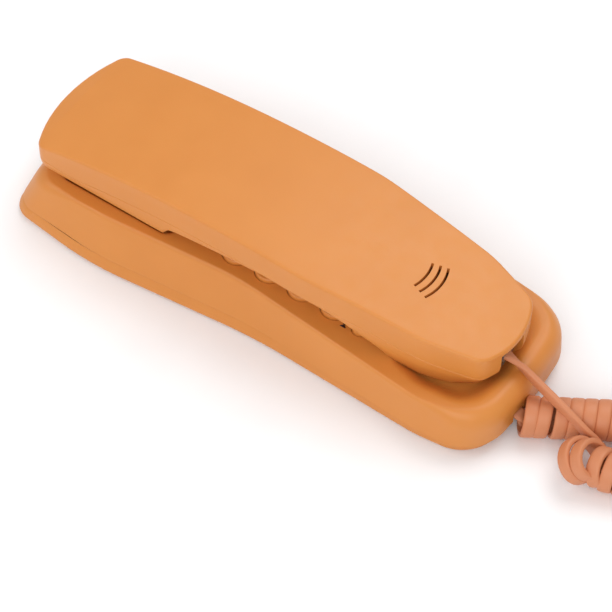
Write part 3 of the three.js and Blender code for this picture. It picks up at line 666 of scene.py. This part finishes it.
def handset_outer_shell():
    plan = Plan(HANDSET, 12)
    skin = Skin()
    outer = [handset_ring(skin, plan, seam_height, SEAM_CHAMFER),
             handset_ring(skin, plan, lambda y: seam_height(y) + SEAM_CHAMFER)]
    for t in (0.15, 0.35, 0.6, 0.85):
        outer.append(handset_ring(skin, plan, lambda y, t=t: seam_height(y) + t * (
            top_height(y) - TOP_EDGE_RADIUS - seam_height(y))))
    for k in range(6):
        angle = k * math.pi / 10
        drop = TOP_EDGE_RADIUS * (1 - math.sin(angle))
        extra = TOP_EDGE_RADIUS * (1 - math.cos(angle))
        outer.append(handset_ring(skin, plan, lambda y, d=drop: top_height(y) - d, extra))

    def crown(x, y, edge):
        edge = max(edge, 0.1)
        rise = (1 - min(1.0, abs(x) / edge) ** 2) * min(1.0, edge / CROWN_WIDTH) ** 2
        return float(top_height(y)) + FACE_CROWN * rise

    skin.bands(outer)
    skin.cap(outer[-1], 30, crown)
    inner = [handset_ring(skin, plan, seam_height, WALL),
             handset_ring(skin, plan, lambda y: top_height(y) - WALL, WALL)]
    skin.bands(inner, flip=True)
    skin.cap(inner[-1], 12, lambda x, y, edge: float(top_height(y)) - WALL, flip=True)
    skin.band(inner[0], outer[0])
    shell = skin.mesh("handset_outer")
    cut(shell, [arc_slot(*slot) for slot in ARC_SLOTS] + [plug_notch()])
    return dress(shell, SHELL, "handset", "shell_plastic", "handset_outer_shell")


def arc_slot(y, half_width):
    """A cutter for one of the slots, whose ends are round."""
    reach = math.asin(half_width / ARC_RADIUS)
    radius = ARC_WIDTH / 2
    loop = []
    for side, turn in ((1, 1), (-1, -1)):
        edge = ARC_RADIUS + side * radius
        for k in range(13):
            angle = -math.pi / 2 + turn * reach * (2 * k / 12 - 1)
            loop.append((edge * math.cos(angle), y + ARC_RADIUS + edge * math.sin(angle)))
    return column(loop, 36, 48)


def plug_notch():
    return block((PLUG_X - NOTCH_HALF, -FAR, 10), (PLUG_X + NOTCH_HALF, NOTCH_Y, NOTCH_TOP))


def handset_inner_shell():
    plan = Plan(HANDSET, 14)
    skin = Skin()

    def rim(y):
        return seam_height(y) - SEAM_GAP

    def ring_at(inset, lift=0.0):
        y = plan.at(0)[:, 1]
        start = edge_inset(rim(y), y)
        xy = plan.at(start + inset)
        low = lower_height(start + inset, xy[:, 1]) + np.array([dish_depth(x, y) for x, y in xy])
        return skin.ring(xy, np.minimum(low, rim(xy[:, 1]) - RIM_MARGIN) + lift)

    def face_height(x, y, edge):
        return float(min(lower_height(DEEP_INSET, y) + dish_depth(x, y), rim(y) - RIM_MARGIN))

    outer = [handset_ring(skin, plan, rim, SEAM_CHAMFER),
             handset_ring(skin, plan, lambda y: rim(y) - SEAM_CHAMFER)]
    outer += [ring_at(inset) for inset in OUTSIDE_STEPS]
    skin.bands(outer, flip=True)
    skin.cap(outer[-1], 44, face_height, flip=True)
    inner = [handset_ring(skin, plan, rim, WALL + GAP)]
    inner += [ring_at(inset, INNER_WALL) for inset in INSIDE_STEPS]
    skin.bands(inner)
    skin.cap(inner[-1], 16, lambda x, y, edge: face_height(x, y, edge) + INNER_WALL)
    skin.band(outer[0], inner[0])
    shell = skin.mesh("handset_inner")
    holes = [(0, RECEIVER_Y)]
    for i in range(EAR_HOLES):
        angle = 2 * math.pi * (i + 0.5) / EAR_HOLES
        holes.append((EAR_HOLES_X * math.cos(angle), RECEIVER_Y + EAR_HOLES_Y * math.sin(angle)))
    holes += [(x, MICROPHONE_Y) for x in MICROPHONE_HOLES]
    cutters = [column(circle(x, y, SOUND_HOLE, 20), 12, 24) for x, y in holes]
    cutters += [block((-HANGER_SLOT_HALF, HANGER_SLOT_START, 20),
                      (HANGER_SLOT_HALF, HANGER_SLOT_END, 34)), plug_notch()]
    cutters += [column(circle(x, HANDSET_SCREW_Y, SCREW_WELL_RADIUS), 12, SCREW_WELL_TOP)
                for x in (-HANDSET_SCREW_X, HANDSET_SCREW_X)]
    cut(shell, cutters)
    return dress(shell, SHELL, "handset", "shell_plastic", "handset_inner_shell")


# ---------- base ----------


def base_ring(skin, foot, rim, inset, z):
    """A ring of the base's side: inset and z are one number, or one for each of its points."""
    share = np.broadcast_to(z, foot.stack.shape[1])[:, None] / BASE_HEIGHT
    return skin.ring(foot.at(inset) * (1 - share) + rim.at(inset) * share, z)


def dial_places():
    return [(name, ((i % 3) - 1) * KEY_COLUMN, KEY_ROW_1 - (i // 3) * KEY_ROW)
            for i, name in enumerate(DIAL_KEYS)]


def function_places():
    return [(name, (i - 1) * KEY_COLUMN, FUNCTION_ROW) for i, name in enumerate(FUNCTION_KEYS)]


def end_openings(slot_y):
    """Cutters for the cord's slot, the bay of its plug, and the line jack's bay and jack."""
    return [
        block((BASE_PLUG_X - CORD_SLOT_HALF, -FAR, -1),
              (BASE_PLUG_X + CORD_SLOT_HALF, slot_y, CORD_SLOT_TOP)),
        block((BASE_PLUG_X - PLUG_BAY_HALF, PLUG_BAY_Y, BAY_FLOOR),
              (BASE_PLUG_X + PLUG_BAY_HALF, PLUG_BAY_END, PLUG_BAY_TOP)),
        block((-LINE_BAY_HALF, LINE_BAY_Y, -1), (LINE_BAY_HALF, FAR, LINE_BAY_TOP)),
        block((-LINE_JACK_HALF, LINE_JACK_Y, BAY_FLOOR), (LINE_JACK_HALF, FAR, LINE_JACK_TOP)),
    ]


def hollow_out(piece):
    """Thickens an open skin inwards by one wall."""
    apply_modifier(piece, "SOLIDIFY", thickness=WALL * MM, offset=-1.0,
                   use_quality_normals=True, use_even_offset=False)


def base_top_housing():
    skin = Skin()
    foot, rim = Plan(BASE_FOOT, 8), Plan(BASE_RIM, 8, BASE_FOOT)
    wall = [base_ring(skin, foot, rim, SEAM_CHAMFER, BASE_SPLIT)]
    y = rim.at(0)[:, 1]
    reach_in = np.interp(y, SHOULDER_Y, SHOULDER_INSET)
    reach_down = np.interp(y, SHOULDER_Y, SHOULDER_DEPTH)
    low = BASE_SPLIT + SEAM_CHAMFER
    for t in (0, 0.25, 0.5, 0.75):
        wall.append(base_ring(skin, foot, rim, 0, low + t * (BASE_HEIGHT - reach_down - low)))
    for k in range(11):
        angle = k * math.pi / 20
        z = BASE_HEIGHT - reach_down * (1 - math.sin(angle))
        wall.append(base_ring(skin, foot, rim, reach_in * (1 - math.cos(angle)), z))
    wall.append(base_ring(skin, foot, rim, reach_in + DECK_OVERLAP, BASE_HEIGHT))
    skin.bands(wall)

    # The ear well: a rounded lip, a steep wall and a rounded foot.
    depth = BASE_HEIGHT - EAR_WELL_Z
    well = [skin.ring(outline(EAR_WELL_TOP, -WELL_LIP - DECK_OVERLAP), BASE_HEIGHT)]
    for k in range(5):
        angle = k * math.pi / 8
        z = BASE_HEIGHT - WELL_LIP * (1 - math.cos(angle))
        out = WELL_LIP * (1 - math.sin(angle))
        well.append(skin.ring(outline(EAR_WELL_TOP, -out), z))
    for share in (0.5, 0.78):
        corners = blend_corners(EAR_WELL_TOP, EAR_WELL_FLOOR, share)
        well.append(skin.ring(outline(corners, 0, EAR_WELL_TOP), BASE_HEIGHT - share * depth))
    for k in range(1, 5):
        angle = k * math.pi / 8
        z = EAR_WELL_Z + WELL_FOOT * (1 - math.sin(angle))
        draw = WELL_FOOT * (1 - math.cos(angle))
        well.append(skin.ring(outline(EAR_WELL_FLOOR, draw, EAR_WELL_TOP), z))
    skin.bands(well, flip=True)
    floor = np.array([skin.points[i][:2] for i in well[-1]])
    skin.plate(floor, [circle(0, HOOK_Y, HOOK_RADIUS + HOOK_CLEARANCE)], EAR_WELL_Z)

    # The mouth bowl: soft from the deck to its floor.
    bowl = [skin.ring(outline(BOWL_TOP, -DECK_OVERLAP), BASE_HEIGHT)]
    for k in range(13):
        share = k / 12
        down = share * share * (3 - 2 * share)
        corners = blend_corners(BOWL_TOP, BOWL_FLOOR, share)
        z = BASE_HEIGHT - down * (BASE_HEIGHT - BOWL_Z)
        bowl.append(skin.ring(outline(corners, 0, BOWL_TOP), z))
    skin.bands(bowl, flip=True)
    skin.cap(bowl[-1], 16, lambda x, y, edge: BOWL_Z)

    loops = [np.array([skin.points[i][:2] for i in ring]) for ring in (wall[-1], well[0], bowl[0])]
    holes = [circle(x, y, KEY_RADIUS + GAP, 48) for _, x, y in dial_places()]
    holes += [pill(x, y, PILL_HALF_LENGTH + GAP, PILL_RADIUS + GAP)
              for _, x, y in function_places()]
    skin.plate(loops[0], [loops[1], loops[2], *holes], BASE_HEIGHT)
    housing = skin.mesh("base_housing")
    hollow_out(housing)
    tab_half = TAB_LENGTH / 2 + GAP
    label_half = LABEL_LENGTH / 2 + LABEL_END_GAP
    cut(housing, [
        block((-tab_half, TAB_Y - TAB_WIDTH / 2 - GAP, TAB_SLOT_FLOOR),
              (tab_half, TAB_SLOT_END, ABOVE_DECK)),
        block((-label_half, LABEL_Y - LABEL_WIDTH / 2 - LABEL_SIDE_GAP, LABEL_FLOOR),
              (label_half, LABEL_Y + LABEL_WIDTH / 2 + LABEL_SIDE_GAP, ABOVE_DECK)),
        *end_openings(HOUSING_SLOT_Y),
    ])
    return dress(housing, SHELL, "base", "shell_plastic", "base_top_housing")


def base_bottom_cover():
    skin = Skin()

    def ring_at(inset, z):
        corners = blend_corners(COVER_FOOT, BASE_RIM, z / BASE_HEIGHT)
        return skin.ring(outline(corners, COVER_INSET + inset, COVER_FOOT), z)

    wall = []
    for k in range(5):
        angle = k * math.pi / 8
        wall.append(ring_at(COVER_EDGE * (1 - math.sin(angle)),
                            FEET_HEIGHT + COVER_EDGE * (1 - math.cos(angle))))
    wall.append(ring_at(0, BASE_SPLIT - COVER_SEAM - SEAM_CHAMFER))
    wall.append(ring_at(SEAM_CHAMFER, BASE_SPLIT - COVER_SEAM))
    skin.bands(wall)
    skin.plate(np.array([skin.points[i][:2] for i in wall[0]]), [], FEET_HEIGHT, flip=True)
    cover = skin.mesh("base_cover")
    hollow_out(cover)
    holes = [column(circle(x, y, FOOT_HOLE_RADIUS), -1, FOOT_HOLE_TOP) for x, y in FEET]
    holes += [column(circle(x, y, SCREW_HOLE_RADIUS), -1, 8) for x, y in BASE_SCREWS]
    holes += [column(circle(x, RINGER_Y, SOUND_HOLE, 20), -1, 5) for x in RINGER_HOLES]
    for y in KEYHOLE_HEIGHTS:
        holes.append(column(circle(0, y, KEYHOLE_RADIUS), -1, 5))
        holes.append(block((-KEYHOLE_SLOT_HALF, y, -1),
                           (KEYHOLE_SLOT_HALF, y + KEYHOLE_SLOT_LENGTH, 5)))
    cut(cover, holes + end_openings(COVER_SLOT_Y))
    return dress(cover, SHELL, "base", "shell_plastic", "base_bottom_cover")


def rounded_stack(name, loop, profile, round_from, radius):
    """Rings of loop(inset) up a profile of (inset, height), with a rounded top edge and flat ends."""
    skin = Skin()
    rings = [skin.ring(loop(inset), z) for inset, z in profile]
    inset, z = round_from
    for k in range(6):
        angle = k * math.pi / 10
        rings.append(skin.ring(loop(inset + radius * (1 - math.cos(angle))),
                               z + radius * math.sin(angle)))
    rings.append(skin.ring(loop(inset + radius + 0.25), z + radius))
    skin.bands(rings)
    skin.faces += [tuple(reversed(rings[0])), tuple(rings[-1])]
    return skin.mesh(name)


def key_cap(name, loop):
    """A key's cap, with the flange that keeps it under the deck."""
    node = f"key_{name}"
    profile = [(0, KEY_BOTTOM), (0, FLANGE_BOTTOM), (-KEY_FLANGE, FLANGE_BOTTOM),
               (-KEY_FLANGE, FLANGE_TOP), (0, FLANGE_TOP)]
    cap = rounded_stack(f"cap_{name}", loop, profile, (0, KEY_TOP - KEY_EDGE), KEY_EDGE)
    return dress(cap, KEYS, node, "key_plastic", node)


def lettering(name, text, x, y, z, size, bold, body, align="CENTER"):
    """Flat dark characters, a hair proud of the face that they are printed on."""
    curve = bpy.data.curves.new(name, "FONT")
    curve.body = text
    curve.size = size * MM
    curve.extrude = INK_THICKNESS * MM
    curve.offset = bold * size * MM
    curve.align_x, curve.align_y = align, "CENTER"
    words = add_object(name, curve)
    graph = bpy.context.evaluated_depsgraph_get()
    data = bpy.data.meshes.new_from_object(words.evaluated_get(graph))
    bpy.data.objects.remove(words)
    data.transform(Matrix.Translation(Vector((x, y, z)) * MM))
    tidy = bmesh.new()
    tidy.from_mesh(data)
    bmesh.ops.remove_doubles(tidy, verts=tidy.verts, dist=1e-6)
    tidy.to_mesh(data)
    tidy.free()
    return dress(add_object(name, data), INK, body, "black_plastic")


def keypad():
    for name, x, y in dial_places():
        key_cap(name, lambda inset, x=x, y=y: circle(x, y, KEY_RADIUS - inset, 56))
        text, rise, size = SIGNS.get(name, (name, 0, DIGIT_SIZE))
        lettering(f"digit_{name}", text, x, y + rise, KEY_TOP, size, DIGIT_BOLD, f"key_{name}")
    for name, x, y in function_places():
        key_cap(name, lambda inset, x=x, y=y: pill(
            x, y, PILL_HALF_LENGTH - inset, PILL_RADIUS - inset))
        lettering(f"word_{name}", name.upper(), x - PILL_HALF_LENGTH, y + WORD_RISE, BASE_HEIGHT,
                  WORD_SIZE, WORD_BOLD, "base", align="LEFT")


def hanger_tab():
    half, reach = TAB_LENGTH / 2, TAB_WIDTH / 2
    low = (-half, TAB_Y - reach, BASE_HEIGHT - TAB_THICKNESS)
    tab = block(low, (half, TAB_Y + reach, BASE_HEIGHT), "tab")
    apply_modifier(tab, "BEVEL", width=TAB_BEVEL * MM, segments=3)
    return dress(tab, SHELL, "hanger_tab", "shell_plastic", "hanger_tab")


def hook_plunger():
    def loop(inset):
        return circle(0, HOOK_Y, HOOK_RADIUS - inset, 40)

    plunger = rounded_stack("plunger", loop, HOOK_PROFILE, (0, HOOK_SHOULDER), HOOK_EDGE)
    return dress(plunger, BLACK, "hook_plunger", "black_plastic", "hook_plunger")


def label_window():
    low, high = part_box("label_window")
    window = block(low / MM, high / MM, "window")
    apply_modifier(window, "BEVEL", width=WINDOW_BEVEL * MM, segments=3)
    return dress(window, FILM, "base", "clear_plastic", "label_window")


def plug(node, body, collar):
    """A clear plug: its body, which ends in a collar round the cord, and four brass blades."""
    low, high = (Vector(v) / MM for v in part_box(node))
    tail = low.y - collar
    shell = block((low.x, tail, low.z), (high.x, high.y, high.z), f"{node}_body")
    apply_modifier(shell, "BEVEL", width=PLUG_BEVEL * MM, segments=2)
    middle = (low.x + high.x) / 2
    cut(shell, [block((middle - CORD_HOLE_HALF, tail - 1, low.z + CORD_HOLE_LOW),
                      (middle + CORD_HOLE_HALF, tail + CORD_HOLE_DEPTH, low.z + CORD_HOLE_HIGH))])
    dress(shell, CLEAR, body, "clear_plastic", node)
    blades = []
    for i in range(BLADES):
        x = middle + (i - (BLADES - 1) / 2) * BLADE_PITCH
        blade = block((x - BLADE_HALF, high.y - BLADE_BACK, high.z - BLADE_LOW),
                      (x + BLADE_HALF, high.y - BLADE_FRONT, high.z - BLADE_HIGH),
                      f"{node}_blade_{i + 1}")
        dress(blade, BRASS, body, "brass")
        blades.append(blade)
    return [shell, *blades]


# ---------- cord ----------


def smooth_line(points, per_piece):
    """A Catmull-Rom curve through the points, whose steps follow the pieces' own lengths."""
    p = np.array(points, float)
    p = np.vstack([2 * p[0] - p[1], p, 2 * p[-1] - p[-2]])
    knots = np.zeros(len(p))
    for i in range(1, len(p)):
        knots[i] = knots[i - 1] + max(np.linalg.norm(p[i][:3] - p[i - 1][:3]), 1e-6) ** 0.5
    line = []
    for i in range(1, len(p) - 2):
        t0, t1, t2, t3 = knots[i - 1:i + 3]
        for t in np.linspace(t1, t2, per_piece, endpoint=False):
            a1 = p[i - 1] * (t1 - t) / (t1 - t0) + p[i] * (t - t0) / (t1 - t0)
            a2 = p[i] * (t2 - t) / (t2 - t1) + p[i + 1] * (t - t1) / (t2 - t1)
            a3 = p[i + 1] * (t3 - t) / (t3 - t2) + p[i + 2] * (t - t2) / (t3 - t2)
            b1 = a1 * (t2 - t) / (t2 - t0) + a2 * (t - t0) / (t2 - t0)
            b2 = a2 * (t3 - t) / (t3 - t1) + a3 * (t - t1) / (t3 - t1)
            line.append(b1 * (t2 - t) / (t2 - t1) + b2 * (t - t1) / (t2 - t1))
    line.append(p[-2])
    return np.array(line)


def lengths_along(line):
    steps = np.linalg.norm(np.diff(line[:, :3], axis=0), axis=1)
    return np.concatenate([[0], np.cumsum(steps)])


def unit(v):
    return v / np.linalg.norm(v, axis=-1, keepdims=True)


def coil_line():
    """The coil's centreline, and the outward direction at each of its stations."""
    axis = smooth_line(COIL_AXIS, AXIS_STEPS)
    along = lengths_along(axis)
    last = [float(along[AXIS_STEPS * i]) for i in range(len(COIL_AXIS) - 5, len(COIL_AXIS))]
    # The first and last strands are placed one by one, and those between are a pitch apart.
    total = 9 + round((last[0] - FIRST_STRANDS[-1]) / COIL_PITCH)
    places = FIRST_STRANDS + last
    counts = [0, 0.25, 1.25, 2.25, 3.25, 4.25, 5.25,
              total - 3.25, total - 2.25, total - 1.25, total - 0.25, total]
    stations = np.linspace(0, total, total * STEPS_PER_TURN + 1)
    where = np.interp(stations, counts, places)
    centre = np.stack([np.interp(where, along, axis[:, k]) for k in range(3)], axis=1)
    lean = np.radians(np.interp(where, along, axis[:, 3]))
    radius = np.interp(where, along, axis[:, 4])
    heading = np.gradient(centre, axis=0)
    heading[:, 2] = 0
    heading = unit(heading)
    side = np.stack([heading[:, 1], -heading[:, 0], np.zeros(len(heading))], axis=1)
    upward = heading * np.sin(lean)[:, None]
    upward[:, 2] = np.cos(lean)
    angle = 1.5 * math.pi + 2 * math.pi * stations
    outward = side * np.cos(angle)[:, None] + upward * np.sin(angle)[:, None]
    return centre + outward * radius[:, None], outward


def join_line(start, start_way, end, end_way, steps=10):
    """A smooth piece of line from one end and direction to another."""
    reach = np.linalg.norm(end - start)
    t = np.linspace(0, 1, steps + 1)[1:-1, None]
    return ((2 * t**3 - 3 * t**2 + 1) * start + (t**3 - 2 * t**2 + t) * reach * start_way
            + (3 * t**2 - 2 * t**3) * end + (t**3 - t**2) * reach * end_way)


def cord_line():
    coil, coil_out = coil_line()
    first = smooth_line(BASE_LEAD, 4)
    last = smooth_line([(*p, *f) for p, f in zip(HANDSET_LEAD, HANDSET_LEAD_FACE)], 12)
    into = join_line(first[-1], np.array([0, -1.0, -0.2]), coil[0], unit(coil[1] - coil[0]))
    out = join_line(coil[-1], unit(coil[-1] - coil[-2]), last[0, :3],
                    unit(last[1, :3] - last[0, :3]), 8)
    line = np.vstack([first, into, coil, out, last[:, :3]])
    faces = np.vstack([
        np.tile([0, 0, -1.0], (len(first), 1)), np.tile([0, 0, -1.0], (len(into), 1)), coil_out,
        coil_out[-1] + (last[0, 3:] - coil_out[-1]) * np.linspace(0, 1, len(out) + 2)[1:-1, None],
        last[:, 3:],
    ])
    way = unit(np.gradient(line, axis=0))
    faces = unit(faces - way * np.sum(faces * way, axis=1, keepdims=True))
    return line, faces, np.cross(way, faces)


def cord_section():
    """Points round the flat cord's section: width, thickness. A shallow groove runs down the middle."""
    section = []
    for k in range(20):
        angle = 2 * math.pi * (k + 0.5) / 20
        c, s = math.cos(angle), math.sin(angle)
        width = CORD_WIDTH / 2 * math.copysign(abs(c) ** 0.62, c)
        height = CORD_THICKNESS / 2 * math.copysign(abs(s) ** 0.5, s)
        groove = CORD_GROOVE * math.exp(-(width / CORD_GROOVE_WIDTH) ** 2)
        section.append((width, height * (1 - groove)))
    return section


def phone_cord():
    line, faces, across = cord_line()
    section = cord_section()
    skin = Skin()
    rings = []
    for centre, up, side in zip(line, faces, across):
        first = len(skin.points)
        skin.points += [tuple(centre + side * w + up * h) for w, h in section]
        rings.append(list(range(first, len(skin.points))))
    skin.bands(rings)
    skin.faces += [tuple(reversed(rings[0])), tuple(rings[-1])]
    cord = skin.mesh("cord")
    cord.data.materials.append(CORD)
    cord.data.shade_smooth()
    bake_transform(cord)
    return cord, line


# ---------- room ----------

FLOOR_REACH = 6.0
ROOM_LIGHT = 0.56
# Each lamp: name, azimuth, elevation, distance, size, watts.
LAMPS = [
    ("key_light", 85, 60, 1.6, 1.2, 10),
    ("fill_light", -65, 42, 1.6, 1.2, 9),
    ("edge_light", -135, 45, 1.6, 1.0, 4),
]


def floor():
    data = bpy.data.meshes.new("floor")
    corners = ((-1, -1), (1, -1), (1, 1), (-1, 1))
    data.from_pydata([(x * FLOOR_REACH, y * FLOOR_REACH, 0) for x, y in corners],
                     [], [(0, 1, 2, 3)])
    ground = add_object("floor", data)
    ground.data.materials.append(
        grained("floor_paint", (250, 250, 251), (252, 252, 253), (0.85, 0.95)))


def area_light(name, azimuth, elevation, distance, size, watts):
    way = direction(azimuth, elevation)
    data = bpy.data.lights.new(name, "AREA")
    data.shape = "DISK"
    data.size = size
    data.energy = watts
    lamp = add_object(name, data)
    lamp.location = way * distance
    lamp.rotation_mode = "QUATERNION"
    lamp.rotation_quaternion = way.to_track_quat("Z", "Y")


def lights():
    world = bpy.data.worlds.new("room")
    world.use_nodes = True
    world.node_tree.nodes["Background"].inputs["Color"].default_value = (1, 1, 1, 1)
    world.node_tree.nodes["Background"].inputs["Strength"].default_value = ROOM_LIGHT
    bpy.context.scene.world = world
    for lamp in LAMPS:
        area_light(*lamp)
    bpy.context.scene.view_settings.view_transform = "Standard"


# ---------- assembly ----------

make_camera()
cord_piece, centreline = phone_cord()
finish_nodes()
handset_outer_shell()
handset_inner_shell()
base_top_housing()
base_bottom_cover()
keypad()
hanger_tab()
hook_plunger()
label_window()
handset_plug = plug("handset_plug", "handset", HANDSET_COLLAR)
base_plug = plug("base_plug", "base", BASE_COLLAR)
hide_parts("handset_lead", "base_lead", "curly_cord")
floor()
lights()
